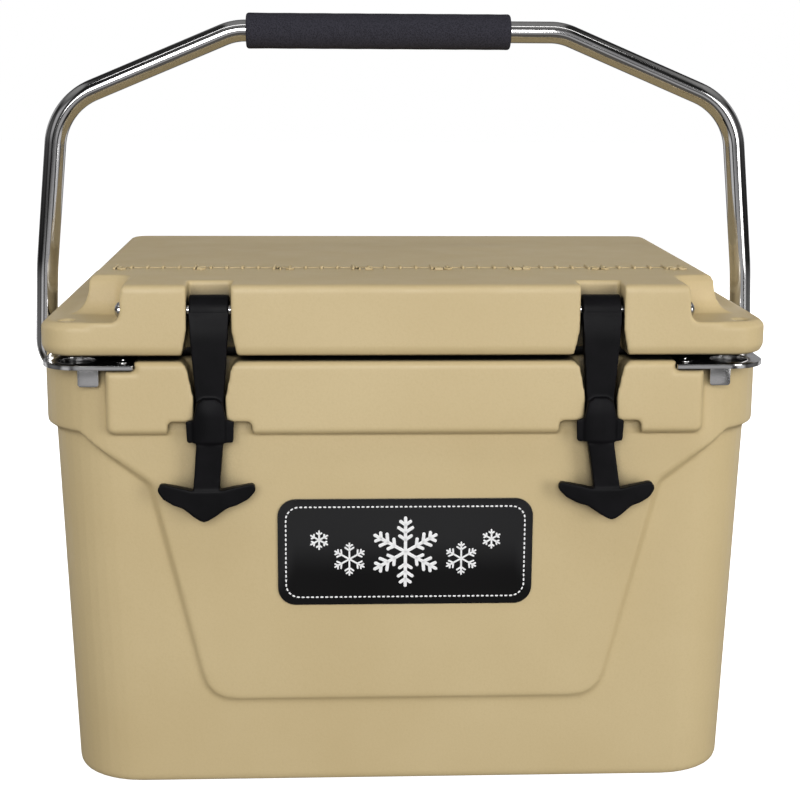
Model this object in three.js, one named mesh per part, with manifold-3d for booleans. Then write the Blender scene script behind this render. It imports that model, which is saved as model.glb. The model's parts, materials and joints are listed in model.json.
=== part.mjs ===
// A 20 quart rotomoulded cooler chest with a stainless bail handle, two rubber
// T-latches and lock plates. Millimetres, +X to the right, +Y to the back, +Z up.
// The origin is on the flat underside, below the handle's pivot line.
import * as THREE from 'three';
import { mergeVertices } from 'three/addons/utils/BufferGeometryUtils.js';
import Module from 'manifold-3d';

const wasm = await Module();
wasm.setup();

// ---------------------------------------------------------------- dimensions
const GAP = 0.3;                  // clearance between parts that touch
const SKIN = 5;                   // wall of the moulded shells
const FAR = 60;                   // how far a cutter runs past what it cuts

const TUB = { halfLow: 237, halfHigh: 245.5, frontLow: -146, frontHigh: -148,
  backLow: 146, backHigh: 151, radius: 50, bottomEdge: 4, ledgeLow: 255 };
const RIM = { half: 252, front: -153, back: 156, radius: 57, low: 258.5, top: 309, edge: 3 };
const WELL = { floor: 38, halfLow: 190, halfHigh: 197, frontLow: -104, frontHigh: -110,
  backLow: 106, backHigh: 112, radius: 34, edge: 10 };
const HOLLOW_TOP = 297;           // top of the foam space under the rim

const PANEL = { back: -140, face: -151.5, lean: 0.86, midZ: 160, bevel: 3 };
const BLOCK = { half: 203.5, low: 258.4, face: -162, back: -140, edge: 3,
  stepX: 184, stepTop: 303 };
const NOTCH = { left: -133.5, right: 132.6, topHalf: 15, waistHalf: 10.6, waistHigh: 284,
  waistLow: 267.5, back: -141, baseHalf: 28.3, baseBack: -153.4 };

const LID = { half: 248, front: -162, back: 155, radius: 25, low: 312, shoulder: 335.5,
  top: 361, lowEdge: 6, topEdge: 4, blockHalf: 218.5, noseHalf: 192, noseBack: -114 };
const LID_PLUG = { low: 290, half: 186, front: -101, back: 104, radius: 30, edge: 4 };
const LATCH = { left: -133.2, right: 131.9, leftPull: -5, rightPull: 9.5, slotHalf: 15, slotBack: -138,
  axisY: -150, axisZ: 342.5, barrel: 10.5, width: 26.5, pin: 3.2, pinHead: 5.5 };
const PADLOCK = { x: 229.5, y: -147.5, radius: 5.5 };
const SEAL = { half: 228, front: -137, back: 138, radius: 40, width: 7, low: 309.4, high: 315.5 };

const PLATE = { low: 303.5, high: 306.5, front: -162.6, inner: 184, outer: 247.6, back: -100,
  holeX: 224, holeY: -141, holeRadius: 13, tabInner: 208, tabOuter: 222, tabLow: 291, tabFront: -157 };
const SCREW = { shank: 2.4, head: 4.6, headHigh: 1.6, low: 291 };
const PLATE_SCREWS = [[192, -150], [238, -108]];

const HANDLE = { tube: 8, bore: 6.5, pivotZ: 272, inner: 219, grip: 13.1,
  gripLow: -112.8, gripHigh: 83.3, topZ: 528.8 };
const BUSH = { radius: 12, bore: 8.5, inner: 221, face: 238.3, flange: 15, flangeFace: 240.3, pocket: 16.5 };

const HINGE = { y: 165, z: 311, knuckle: 8, pin: 3, bore: 3.3, web: 8 };
const HINGE_SETS = [-140, 140];   // centres of the two hinges along X
const KNUCKLE = { lidHalf: 21, tubFrom: 22, tubTo: 45 };

const DRAIN = { x: 150, z: 62, bore: 9, tube: 14, flange: 19, inner: 102, seat: 106.8,
  nut: 17.5, outer: 151.4 };
const PORT = { radius: 10, plug: 9.6, y: 60 };
const BADGE = { half: 88.7, low: 134.5, high: 211, radius: 12.5, thick: 1.2 };

// ----------------------------------------------------------------- materials
const material = (color, roughness, metalness = 0) =>
  new THREE.MeshStandardMaterial({ color, roughness, metalness });
const TAN = () => material(0xc9b68c, 0.55);
const FOAM_CORE = () => material(0xe8ddb4, 0.9);
const RUBBER = () => material(0x242327, 0.6);
const STEEL = () => material(0xc8c8cc, 0.18, 1);
const GRIP_FOAM = () => material(0x27262c, 0.95);
const NYLON = () => material(0x1d1d1f, 0.5);
const LABEL = () => material(0x1b1b1c, 0.25);

// ------------------------------------------------------------ solid geometry
/** A closed three.js geometry as a solid for booleans. */
function solid(geometry) {
  const bare = geometry.index ? geometry.toNonIndexed() : geometry.clone();
  bare.deleteAttribute('normal');
  bare.deleteAttribute('uv');
  const merged = mergeVertices(bare, 1e-4);
  return new wasm.Manifold(new wasm.Mesh({
    numProp: 3,
    vertProperties: new Float32Array(merged.attributes.position.array),
    triVerts: new Uint32Array(merged.index.array),
  }));
}

/** A solid back as a three.js geometry. */
function geometryOf(shape) {
  const mesh = shape.getMesh();
  const geometry = new THREE.BufferGeometry();
  geometry.setAttribute('position', new THREE.BufferAttribute(mesh.vertProperties, 3));
  geometry.setIndex(new THREE.BufferAttribute(mesh.triVerts, 1));
  geometry.computeVertexNormals();
  return geometry;
}

const join = (...shapes) => shapes.reduce((whole, shape) => whole.add(shape));
const cut = (whole, ...shapes) => shapes.reduce((rest, shape) => rest.subtract(shape), whole);

/** Two distances from the middle as coordinates on one side, the lower first. */
const span = (side, near, far) => [near * side, far * side].sort((a, b) => a - b);

/** A box from its two corners. */
function box(low, high) {
  const size = high.map((value, axis) => value - low[axis]);
  const geometry = new THREE.BoxGeometry(...size);
  return solid(geometry.translate(...low.map((value, axis) => value + size[axis] / 2)));
}

/** A turned solid about the X, Y or Z axis. The profile is [radius, distance along the axis]. */
function turned(profile, axis, at, sides = 24) {
  const geometry = new THREE.LatheGeometry(profile.map(([r, h]) => new THREE.Vector2(r, h)), sides);
  if (axis === 'x') geometry.rotateZ(-Math.PI / 2);
  if (axis === 'z') geometry.rotateX(Math.PI / 2);
  return geometry.translate(...at);
}

/** A plain cylinder along an axis, from one distance to another. */
const rod = (radius, from, to, axis, at, sides = 24) =>
  turned([[0, from], [radius, from], [radius, to], [0, to]], axis, at, sides);

/** A ring or sleeve along an axis, as a closed profile. */
const sleeve = (inner, outer, from, to, axis, at, sides = 24) =>
  turned([[inner, from], [outer, from], [outer, to], [inner, to], [inner, from]], axis, at, sides);

/** A rounded rectangle in plan, anticlockwise from the front right corner. */
function planOutline({ half, front, back, radius, backRadius = radius, middle = 0 }, steps = 10) {
  const corners = [
    [half - radius, front + radius, radius, -90], [half - backRadius, back - backRadius, backRadius, 0],
    [-half + backRadius, back - backRadius, backRadius, 90], [-half + radius, front + radius, radius, 180],
  ];
  const points = [];
  for (const [x, y, r, start] of corners) {
    for (let step = 0; step <= steps; step++) {
      const angle = THREE.MathUtils.degToRad(start + 90 * step / steps);
      points.push([middle + x + r * Math.cos(angle), y + r * Math.sin(angle)]);
    }
  }
  return points;
}

/** The same outline moved outwards by grow. */
const grown = (plan, grow) => ({ ...plan, half: plan.half + grow, front: plan.front - grow,
  back: plan.back + grow, radius: Math.max(plan.radius + grow, 1),
  backRadius: Math.max((plan.backRadius ?? plan.radius) + grow, 1) });

/** A closed solid through plan outlines at rising heights. */
function loft(sections, steps = 10) {
  const rings = sections.map(([z, plan]) => planOutline(plan, steps).map(([x, y]) => [x, y, z]));
  const count = rings[0].length;
  const index = [];
  for (let level = 0; level < rings.length - 1; level++) {
    for (let i = 0; i < count; i++) {
      const a = level * count + i;
      const b = level * count + (i + 1) % count;
      index.push(a, b, b + count, a, b + count, a + count);
    }
  }
  const top = (rings.length - 1) * count;
  for (let i = 1; i < count - 1; i++) {
    index.push(0, i + 1, i);
    index.push(top, top + i, top + i + 1);
  }
  const geometry = new THREE.BufferGeometry();
  geometry.setAttribute('position', new THREE.Float32BufferAttribute(rings.flat(2), 3));
  geometry.setIndex(index);
  return solid(geometry);
}

/** A polygon as a THREE.Shape, its corners rounded by each point's third number. */
function roundedShape(points, arcSteps = 4) {
  const corners = [];
  points.forEach(([x, y, radius = 0], i) => {
    const here = new THREE.Vector2(x, y);
    if (!radius) {
      corners.push(here);
      return;
    }
    const before = new THREE.Vector2(...points.at(i - 1)).sub(here).normalize();
    const after = new THREE.Vector2(...points[(i + 1) % points.length]).sub(here).normalize();
    const reach = radius / Math.tan(Math.acos(before.dot(after)) / 2);
    const curve = new THREE.QuadraticBezierCurve(
      here.clone().addScaledVector(before, reach), here, here.clone().addScaledVector(after, reach));
    corners.push(...curve.getPoints(arcSteps));
  });
  return new THREE.Shape(corners);
}

/** A front view outline (x, z) given depth from y = near to y = far, with an optional bevel. */
function frontPlate(shape, near, far, bevel = 0) {
  const geometry = new THREE.ExtrudeGeometry(shape, {
    depth: far - near - 2 * bevel, curveSegments: 6, bevelEnabled: bevel > 0,
    bevelThickness: bevel, bevelSize: bevel, bevelOffset: -bevel, bevelSegments: 1,
  });
  return geometry.rotateX(Math.PI / 2).translate(0, far - bevel, 0);
}

/** A plan view outline (x, y) given height from z = low to z = high. */
const flatPlate = (shape, low, high) =>
  new THREE.ExtrudeGeometry(shape, { depth: high - low, bevelEnabled: false }).translate(0, 0, low);

/** The same outline mirrored to the left when side is -1. */
const sided = (points, side) => points.map(([x, y, radius]) => [x * side, y, radius]);

// ------------------------------------------------------------------- the tub
/** The tapered body below the rim at height z, pulled in by inset. */
function bodyAt(z, inset) {
  const t = z / TUB.ledgeLow;
  const mix = (low, high) => THREE.MathUtils.lerp(low, high, t);
  return grown({ half: mix(TUB.halfLow, TUB.halfHigh), front: mix(TUB.frontLow, TUB.frontHigh),
    back: mix(TUB.backLow, TUB.backHigh), radius: TUB.radius }, -inset);
}

/** The space for ice at height z, moved outwards by grow. */
function wellAt(z, grow) {
  const t = (z - WELL.floor) / (RIM.top - WELL.floor);
  const mix = (low, high) => THREE.MathUtils.lerp(low, high, t);
  return grown({ half: mix(WELL.halfLow, WELL.halfHigh), front: mix(WELL.frontLow, WELL.frontHigh),
    back: mix(WELL.backLow, WELL.backHigh), radius: WELL.radius }, grow);
}

function tubOutside() {
  const e = TUB.bottomEdge;
  return loft([
    [0, bodyAt(0, e)], [e * 0.3, bodyAt(0, e * 0.3)], [e, bodyAt(e, 0)],
    [TUB.ledgeLow, bodyAt(TUB.ledgeLow, 0)], [RIM.low, RIM],
    [RIM.top - RIM.edge, RIM], [RIM.top, grown(RIM, -RIM.edge)],
  ]);
}

function wellSpace(grow) {
  const e = WELL.edge;
  const low = WELL.floor - grow;
  return loft([
    [low, wellAt(low, grow - e)], [low + e * 0.3, wellAt(low, grow - e * 0.3)],
    [low + e, wellAt(low + e, grow)], [RIM.top + FAR, wellAt(RIM.top + FAR, grow)],
  ]);
}

/** The foam space between the skins, shrunk by clear on every side. */
function tubHollow(clear) {
  const inset = SKIN + clear;
  const e = TUB.bottomEdge;
  const outside = loft([
    [inset, bodyAt(inset, inset + e - 2)], [inset + e - 2, bodyAt(inset + e, inset)],
    [TUB.ledgeLow + 2, bodyAt(TUB.ledgeLow, inset)], [RIM.low + 2, grown(RIM, -inset)],
    [HOLLOW_TOP - clear, grown(RIM, -inset)],
  ]);
  const bosses = [];
  for (const side of [-1, 1]) {
    bosses.push(solid(rod(20 + clear, -30, FAR, 'x', [220 * side, 0, HANDLE.pivotZ])));
    bosses.push(solid(rod(20 + clear, -FAR, 30, 'x', [220 * side, 0, HANDLE.pivotZ])));
    const [from, to] = span(side, PLATE.inner - 6 - clear, FAR * 6);
    bosses.push(box([from, -FAR * 4, 283 - clear], [to, PLATE.back + 6 + clear, 320]));
  }
  for (const x of [NOTCH.left, NOTCH.right]) {
    const reach = NOTCH.topHalf + 6 + SKIN + clear;
    const low = NOTCH.waistLow - 10 - clear;
    bosses.push(box([x - reach, -200, low], [x + reach, NOTCH.back + SKIN + clear, 320]));
  }
  bosses.push(solid(rod(21 + clear, 90, 200, 'y', [DRAIN.x, 0, DRAIN.z])));
  return cut(outside, wellSpace(SKIN + clear), ...bosses);
}

/** The proud trapezoid on the front, leaning with the tapered wall and kept inside the rim's outline. */
function frontPanel() {
  const z = (value) => value - PANEL.midZ;
  const outline = roundedShape([
    [-233, z(264)], [-176, z(221), 12], [-139, z(62), 26], [139, z(62), 26], [177, z(221), 12], [233, z(264)],
  ]);
  const geometry = frontPlate(outline, PANEL.face, PANEL.back, PANEL.bevel);
  geometry.translate(0, -PANEL.face, 0).rotateX(THREE.MathUtils.degToRad(PANEL.lean));
  const panel = solid(geometry.translate(0, PANEL.face, PANEL.midZ));
  return panel.intersect(loft([[0, RIM], [RIM.low + 3, RIM]]));
}

/** The proud block below the lid, with its ends stepped down for the lock plates. */
function rimBlock() {
  const { half, low, stepX, stepTop } = BLOCK;
  const outline = roundedShape([
    [-half, low, 6], [half, low, 6], [half, stepTop], [stepX, stepTop], [stepX, RIM.top],
    [-stepX, RIM.top], [-stepX, stepTop], [-half, stepTop],
  ]);
  return solid(frontPlate(outline, BLOCK.face, BLOCK.back, BLOCK.edge));
}

/** What a latch needs cut from the front of the tub: a deep waist above a shallow, wider foot. */
function tubNotch(x) {
  const { topHalf, waistHalf, waistHigh, waistLow, baseHalf, baseBack, back } = NOTCH;
  const waist = roundedShape([
    [x - waistHalf, waistLow - 2], [x + waistHalf, waistLow - 2], [x + waistHalf, waistHigh, 4],
    [x + topHalf, RIM.top - 4, 4], [x + topHalf + 6, RIM.top + 2],
    [x - topHalf - 6, RIM.top + 2], [x - topHalf, RIM.top - 4, 4], [x - waistHalf, waistHigh, 4],
  ]);
  const near = BLOCK.face - FAR;
  const foot = box([x - baseHalf, near, BLOCK.low - 5], [x + baseHalf, baseBack, waistLow]);
  return solid(frontPlate(waist, near, back)).add(foot);
}

/** Knuckles and webs on the tub's back edge. */
function tubKnuckles() {
  const shapes = [];
  for (const centre of HINGE_SETS) {
    for (const side of [-1, 1]) {
      const [from, to] = span(side, KNUCKLE.tubFrom, KNUCKLE.tubTo);
      shapes.push(solid(rod(HINGE.knuckle, from, to, 'x', [centre, HINGE.y, HINGE.z], 20)));
      shapes.push(box([centre + from, RIM.back - 4, HINGE.z - HINGE.web],
        [centre + to, HINGE.y, HINGE.z - 0.5]));
    }
  }
  return shapes;
}

/** The bores of both hinges, long enough to leave both ends open. */
const hingeBores = () => HINGE_SETS.map((centre) =>
  solid(rod(HINGE.bore, -KNUCKLE.tubTo - 2, KNUCKLE.tubTo + 2, 'x', [centre, HINGE.y, HINGE.z], 16)));

function tubShell() {
  const body = join(tubOutside(), frontPanel(), rimBlock(), ...tubKnuckles());
  const cutters = [wellSpace(0), tubHollow(0), tubNotch(NOTCH.left), tubNotch(NOTCH.right), ...hingeBores()];
  cutters.push(solid(rod(PORT.radius, -FAR, SKIN + 2, 'z', [0, PORT.y, 0])));
  cutters.push(solid(rod(DRAIN.tube + GAP, 90, 200, 'y', [DRAIN.x, 0, DRAIN.z])));
  cutters.push(solid(rod(DRAIN.nut + 1, 90, DRAIN.seat, 'y', [DRAIN.x, 0, DRAIN.z])));
  for (const side of [-1, 1]) {
    const pivot = [0, 0, HANDLE.pivotZ];
    cutters.push(solid(rod(BUSH.radius + GAP, ...span(side, 216, 280), 'x', pivot)));
    cutters.push(solid(rod(BUSH.pocket, ...span(side, BUSH.face - GAP, 280), 'x', pivot)));
    const [low, high] = span(side, PLATE.inner - GAP, 300);
    cutters.push(box([low, -200, PLATE.low - GAP], [high, PLATE.back + 2, RIM.top + FAR]));
    for (const [x, y] of PLATE_SCREWS) {
      cutters.push(solid(rod(SCREW.shank + GAP, SCREW.low - 1, RIM.top, 'z', [x * side, y, 0], 12)));
    }
  }
  return geometryOf(cut(body, ...cutters));
}

/** The foam core: the hollow of the shell, less a hair of clearance. */
const tubFoam = () => geometryOf(tubHollow(GAP));

// ------------------------------------------------------------------- the lid
const LID_FLANGE = { half: LID.half, front: LID.front, back: LID.back, radius: LID.radius,
  backRadius: 34 };
const LID_BLOCK = { half: LID.blockHalf, front: LID.front, back: LID.back, radius: 12, backRadius: 14 };
// The sweep at the foot of the lid's sides, as [height above the flange, spread].
const SCOOP = [[0, 13], [1.5, 8.5], [4, 5], [8, 2.4], [13, 0.8], [18, 0]];

function lidOutside() {
  const { low, shoulder, top, lowEdge, topEdge } = LID;
  const flange = loft([
    [low, grown(LID_FLANGE, -lowEdge)], [low + lowEdge * 0.3, grown(LID_FLANGE, -lowEdge * 0.3)],
    [low + lowEdge, LID_FLANGE], [shoulder - topEdge, LID_FLANGE],
    [shoulder, grown(LID_FLANGE, -topEdge)],
  ]);
  const sweep = (spread) => ({ ...LID_BLOCK, half: LID.blockHalf + spread,
    radius: LID_BLOCK.radius + spread });
  const raised = loft([
    [shoulder - 4, sweep(SCOOP[0][1])],
    ...SCOOP.map(([height, spread]) => [shoulder + height, sweep(spread)]),
    [top - topEdge, LID_BLOCK], [top - topEdge * 0.3, grown(LID_BLOCK, -topEdge * 0.3)],
    [top, grown(LID_BLOCK, -topEdge)],
  ]);
  return flange.add(cut(raised, lidPocket(-1), lidPocket(1)));
}

/** The space over one padlock ear, with a swept foot and a rolled-back top edge. */
function lidPocket(side) {
  const reach = 60;
  const plan = { half: reach, front: LID.front - FAR, back: LID.noseBack, radius: 10,
    middle: side * (LID.noseHalf + reach) };
  const foot = (spread, inward) => ({ ...plan, half: reach - inward, back: plan.back - spread,
    middle: side * (LID.noseHalf + reach) });
  return loft([
    [LID.shoulder, foot(9, 5)], [LID.shoulder + 1.5, foot(5.5, 2.6)], [LID.shoulder + 4, foot(2.8, 1)],
    [LID.shoulder + 8, foot(0.8, 0)], [LID.top - 9, foot(-1, 0)], [LID.top - 4, foot(-3, -0.5)],
    [LID.top - 1, foot(-6, -2)], [LID.top + FAR, foot(-8, -4)],
  ]);
}

function lidPlug(grow) {
  const { low, half, front, back, radius, edge } = LID_PLUG;
  const plan = grown({ half, front, back, radius }, grow);
  return loft([[low - grow, grown(plan, -edge)], [low - grow + edge, plan], [LID.low + SKIN, plan]]);
}

/** The foam space in the lid, behind the solid front rail that carries the latch pins. */
function lidHollow(clear) {
  const inset = SKIN + clear;
  const upper = grown({ half: LID.blockHalf, front: LID.noseBack - 4, back: LID.back, radius: 14 }, -inset);
  const lower = loft([[LID_PLUG.low + inset, grown(LID_PLUG, -inset - 3)],
    [LID_PLUG.low + inset + 3, grown(LID_PLUG, -inset)], [LID.top - inset - 1, grown(LID_PLUG, -inset)]]);
  const middle = loft([[LID.low + SKIN + inset, upper], [LID.top - inset, grown(upper, -4)]]);
  return lower.add(middle);
}

/** The recess that a latch lies in, wider at its foot and open at the top. */
function lidSlot(x) {
  const outline = roundedShape([
    [x - LATCH.slotHalf - 4, LID.low - 1], [x + LATCH.slotHalf + 4, LID.low - 1],
    [x + LATCH.slotHalf + 2.5, LID.low + 6, 4], [x + LATCH.slotHalf, LID.low + 18, 6],
    [x + LATCH.slotHalf, LID.top + 5], [x - LATCH.slotHalf, LID.top + 5],
    [x - LATCH.slotHalf, LID.low + 18, 6], [x - LATCH.slotHalf - 2.5, LID.low + 6, 4],
  ]);
  return solid(frontPlate(outline, LID.front - FAR, LATCH.slotBack));
}

const ringPoints = (grow) => planOutline(grown(SEAL, grow), 8).map(([x, y]) => new THREE.Vector2(x, y));

/** The ring of the seal, or with some extra on every side the groove that it sits in. */
function sealRing(extra, low, high) {
  const outer = new THREE.Shape(ringPoints(extra));
  outer.holes.push(new THREE.Path(ringPoints(-SEAL.width - extra)));
  return flatPlate(outer, low, high);
}

/** Knuckles and webs on the lid's back edge. */
function lidKnuckles() {
  return HINGE_SETS.flatMap((centre) => [
    solid(rod(HINGE.knuckle, -KNUCKLE.lidHalf, KNUCKLE.lidHalf, 'x', [centre, HINGE.y, HINGE.z], 20)),
    box([centre - KNUCKLE.lidHalf, LID.back - 5, LID.low + 0.5],
      [centre + KNUCKLE.lidHalf, HINGE.y, HINGE.z + HINGE.web]),
  ]);
}

function lidShell() {
  const body = join(lidOutside(), lidPlug(0), ...lidKnuckles());
  const cutters = [lidHollow(0), lidSlot(LATCH.left), lidSlot(LATCH.right), ...hingeBores()];
  cutters.push(solid(sealRing(0.6, LID.low - 2, SEAL.high + 0.5)));
  cutters.push(solid(rod(PORT.radius, LID_PLUG.low - FAR, LID_PLUG.low + SKIN + 2, 'z', [0, PORT.y, 0])));
  for (const side of [-1, 1]) {
    const axis = [0, LATCH.axisY, LATCH.axisZ];
    cutters.push(solid(rod(LATCH.pin + GAP, ...span(side, 102, 260), 'x', axis, 16)));
    cutters.push(solid(rod(LATCH.pinHead + 0.6, ...span(side, LID.noseHalf, 215), 'x', axis, 20)));
    cutters.push(solid(rod(PADLOCK.radius, LID.low - FAR, LID.top, 'z', [PADLOCK.x * side, PADLOCK.y, 0])));
  }
  return geometryOf(cut(body, ...cutters));
}

const lidFoam = () => geometryOf(lidHollow(GAP));

/** A stainless pin for one latch, its domed head on the corner pocket's wall. */
function latchPin(side) {
  const head = [LID.noseHalf + GAP, LID.noseHalf + 1.8, LID.noseHalf + 2.8];
  const profile = [[0, 103.5], [LATCH.pin, 103.5], [LATCH.pin, head[0]], [LATCH.pinHead, head[0]],
    [LATCH.pinHead, head[1]], [3.4, head[2]], [0, head[2]]];
  const geometry = turned(profile, 'x', [0, 0, 0], 16);
  if (side < 0) geometry.rotateZ(Math.PI);
  return geometry.translate(0, LATCH.axisY, LATCH.axisZ);
}

// --------------------------------------------------------------- the latches
/** How far the strap leans sideways at height z: the rubber hooks on at a slant. */
const lean = (z, total) => (z < 254 ? total * (254 - z) / 55 : 0);

/** One rubber latch: eye, strap, keeper and anchor-shaped pull tab. */
function latchBody(x, pull) {
  const at = (dx, z, radius) => [x + dx + lean(z, pull), z, radius];
  const strap = roundedShape([
    at(-9.4, 256), at(9.4, 256), at(9.3, 282), at(12.2, 318), at(13.2, 342),
    at(-13.2, 342), at(-12.2, 318), at(-9.3, 282),
  ]);
  const tail = roundedShape([at(-8.9, 218), at(8.9, 218), at(9.1, 257), at(-9.1, 257)]);
  const keeper = roundedShape([
    at(-15.6, 254.1, 1.5), at(15.6, 254.1, 1.5), at(16.2, 268.5), at(11, 270), at(8.8, 281),
    at(4.5, 284.3), at(-4.5, 284.3), at(-8.8, 281), at(-11, 270), at(-16.2, 268.5),
  ]);
  const arm = [[7.2, 202.8], [15, 208.8, 9], [21.5, 210.8], [29, 214.8, 7], [33.8, 221, 3.5],
    [31.5, 225.7, 2.5], [17, 223], [9, 221]];
  const anchor = roundedShape([at(0, 198.3, 5), ...arm.map(([dx, z, radius]) => at(dx, z, radius)),
    ...arm.map(([dx, z, radius]) => at(-dx, z, radius)).reverse()], 2);
  const eye = rod(LATCH.barrel, -LATCH.width / 2, LATCH.width / 2, 'x', [x, LATCH.axisY, LATCH.axisZ]);
  const bore = rod(LATCH.pin + GAP / 2, -FAR, FAR, 'x', [x, LATCH.axisY, LATCH.axisZ], 16);
  const whole = join(solid(frontPlate(strap, -163.5, -155.5)), solid(frontPlate(keeper, -169, -162.8)),
    solid(frontPlate(tail, -168, -160)), solid(frontPlate(anchor, -169, -160.5)), solid(eye));
  return geometryOf(cut(whole, solid(bore)));
}

// ---------------------------------------------------------------- the handle
/** Half of the bail's bent centreline: x, z and the bend radius at each vertex. */
const BAIL = [[268.7, HANDLE.pivotZ, 25], [265.2, 352, 260], [253, 474, 48], [122, HANDLE.topZ, 42]];

/** The whole centreline, as straight runs joined by true arcs. */
function bailPath() {
  const right = [[HANDLE.inner, HANDLE.pivotZ, 0], ...BAIL];
  const all = [...right, ...right.map(([x, z, r]) => [-x, z, r]).reverse()];
  const path = new THREE.CurvePath();
  let last = new THREE.Vector3(all[0][0], 0, all[0][1]);
  for (let i = 1; i < all.length - 1; i++) {
    const here = new THREE.Vector3(all[i][0], 0, all[i][1]);
    const before = new THREE.Vector3(all[i - 1][0], 0, all[i - 1][1]).sub(here).normalize();
    const after = new THREE.Vector3(all[i + 1][0], 0, all[i + 1][1]).sub(here).normalize();
    const reach = all[i][2] / Math.tan(Math.acos(before.dot(after)) / 2);
    const enter = here.clone().addScaledVector(before, reach);
    const leave = here.clone().addScaledVector(after, reach);
    path.add(new THREE.LineCurve3(last, enter));
    path.add(new THREE.QuadraticBezierCurve3(enter, here, leave));
    last = leave;
  }
  path.add(new THREE.LineCurve3(last, new THREE.Vector3(-HANDLE.inner, 0, HANDLE.pivotZ)));
  return path;
}

function handleTube() {
  const section = new THREE.Shape().absarc(0, 0, HANDLE.tube, 0, Math.PI * 2);
  section.holes.push(new THREE.Path().absarc(0, 0, HANDLE.bore, 0, Math.PI * 2, true));
  return new THREE.ExtrudeGeometry(section, { steps: 84, curveSegments: 4, bevelEnabled: false,
    extrudePath: bailPath() });
}

function handleGrip() {
  const { gripLow: low, gripHigh: high, grip, tube } = HANDLE;
  const inner = tube + 0.2;
  return turned([[inner, low], [grip - 2, low], [grip, low + 2], [grip, high - 2], [grip - 2, high],
    [inner, high], [inner, low]], 'x', [0, 0, HANDLE.topZ], 20);
}

/** A plastic plug in the open end of the tube. */
function endCap(side) {
  const { inner, bore, tube, pivotZ } = HANDLE;
  const profile = [[0, inner - 2.3], [tube - 0.4, inner - 2.3], [tube - 0.4, inner - GAP],
    [bore - 0.7, inner - GAP], [bore - 0.7, inner + 8], [0, inner + 8]];
  const geometry = turned(profile, 'x', [0, 0, 0], 16);
  if (side < 0) geometry.rotateZ(Math.PI);
  return geometry.translate(0, 0, pivotZ);
}

// ------------------------------------------------------------- small fittings
/** A flanged bush that the handle's foot turns in. */
function pivotBush(side) {
  const { radius, bore, inner, face, flange, flangeFace } = BUSH;
  const profile = [[bore, inner], [radius, inner], [radius, face], [flange, face], [flange, flangeFace],
    [bore, flangeFace], [bore, inner]];
  const geometry = turned(profile, 'x', [0, 0, 0], 24);
  if (side < 0) geometry.rotateZ(Math.PI);
  return geometry.translate(0, 0, HANDLE.pivotZ);
}

/** A pressed steel corner plate: padlock eye on top and a bottle opener tab below. */
function lockPlate(side) {
  const { front, inner, outer, back, low, high, holeX, holeY, holeRadius } = PLATE;
  const outline = roundedShape(sided([
    [inner, front], [outer, front, 27], [outer, back], [228, back], [206, -127, 12], [inner, -136],
  ], side), 8);
  const eye = solid(rod(holeRadius, low - FAR, high + FAR, 'z', [holeX * side, holeY, 0]));
  const holes = PLATE_SCREWS.map(([x, y]) =>
    solid(rod(SCREW.shank + GAP, low - FAR, high + FAR, 'z', [x * side, y, 0], 12)));
  const [from, to] = span(side, PLATE.tabInner, PLATE.tabOuter);
  const tab = box([from, PLATE.tabFront, PLATE.tabLow], [to, PLATE.tabFront + 2.5, low + 1]);
  return geometryOf(cut(solid(flatPlate(outline, low, high)), eye, ...holes).add(tab));
}

function plateScrew(x, y) {
  const seat = PLATE.high + GAP;
  return turned([[0, SCREW.low], [SCREW.shank, SCREW.low], [SCREW.shank, seat], [SCREW.head, seat],
    [SCREW.head * 0.7, seat + SCREW.headHigh], [0, seat + SCREW.headHigh]], 'z', [x, y, 0], 12);
}

const hingePin = (centre) =>
  rod(HINGE.pin, -KNUCKLE.tubTo, KNUCKLE.tubTo, 'x', [centre, HINGE.y, HINGE.z], 16);

/** The outlet tube through the back wall, flanged outside. */
function drainFitting() {
  const { x, z, bore, tube, flange, inner, outer } = DRAIN;
  return turned([[bore, inner], [tube, inner], [tube, outer - 3], [flange, outer - 3], [flange, outer],
    [bore, outer], [bore, inner]], 'y', [x, 0, z], 24);
}

/** The nut that clamps the outlet from inside the tub. */
const drainNut = () =>
  sleeve(DRAIN.tube + GAP, DRAIN.nut, DRAIN.seat - 4.3, DRAIN.seat - GAP, 'y', [DRAIN.x, 0, DRAIN.z], 24);

const drainWasher = () =>
  sleeve(DRAIN.bore + 0.4, DRAIN.tube + 1, DRAIN.outer + GAP, DRAIN.outer + 2.3, 'y', [DRAIN.x, 0, DRAIN.z]);

/** The screw-in drain plug with a scalloped knob. */
function drainPlug() {
  const knobFrom = DRAIN.outer + 2.6;
  const scallops = 8;
  const rim = [];
  for (let step = 0; step < scallops * 4; step++) {
    const angle = step * Math.PI * 2 / (scallops * 4);
    const radius = 14.5 + 1.2 * Math.cos(scallops * angle);
    rim.push(new THREE.Vector2(radius * Math.cos(angle), radius * Math.sin(angle)));
  }
  const knob = frontPlate(new THREE.Shape(rim), knobFrom, knobFrom + 9, 1).translate(DRAIN.x, 0, DRAIN.z);
  const stem = rod(DRAIN.bore - 0.3, DRAIN.inner + 6, knobFrom + 2, 'y', [DRAIN.x, 0, DRAIN.z]);
  return geometryOf(solid(knob).add(solid(stem)));
}

/** The plug that closes a foam filling port. */
const portPlug = (low) => rod(PORT.plug, low + 1, low + SKIN - 0.2, 'z', [0, PORT.y, 0]);

/** The label plate on the front panel. */
function badgePlate() {
  const { half, low, high, radius, thick } = BADGE;
  const plan = { half, front: low - PANEL.midZ, back: high - PANEL.midZ, radius };
  const shape = new THREE.Shape(planOutline(plan, 6).map(([x, y]) => new THREE.Vector2(x, y)));
  const geometry = frontPlate(shape, -thick - GAP, -GAP);
  geometry.rotateX(THREE.MathUtils.degToRad(PANEL.lean));
  return geometry.translate(0, PANEL.face, PANEL.midZ);
}

// ------------------------------------------------------------------ assembly
const cooler = new THREE.Group();

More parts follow.
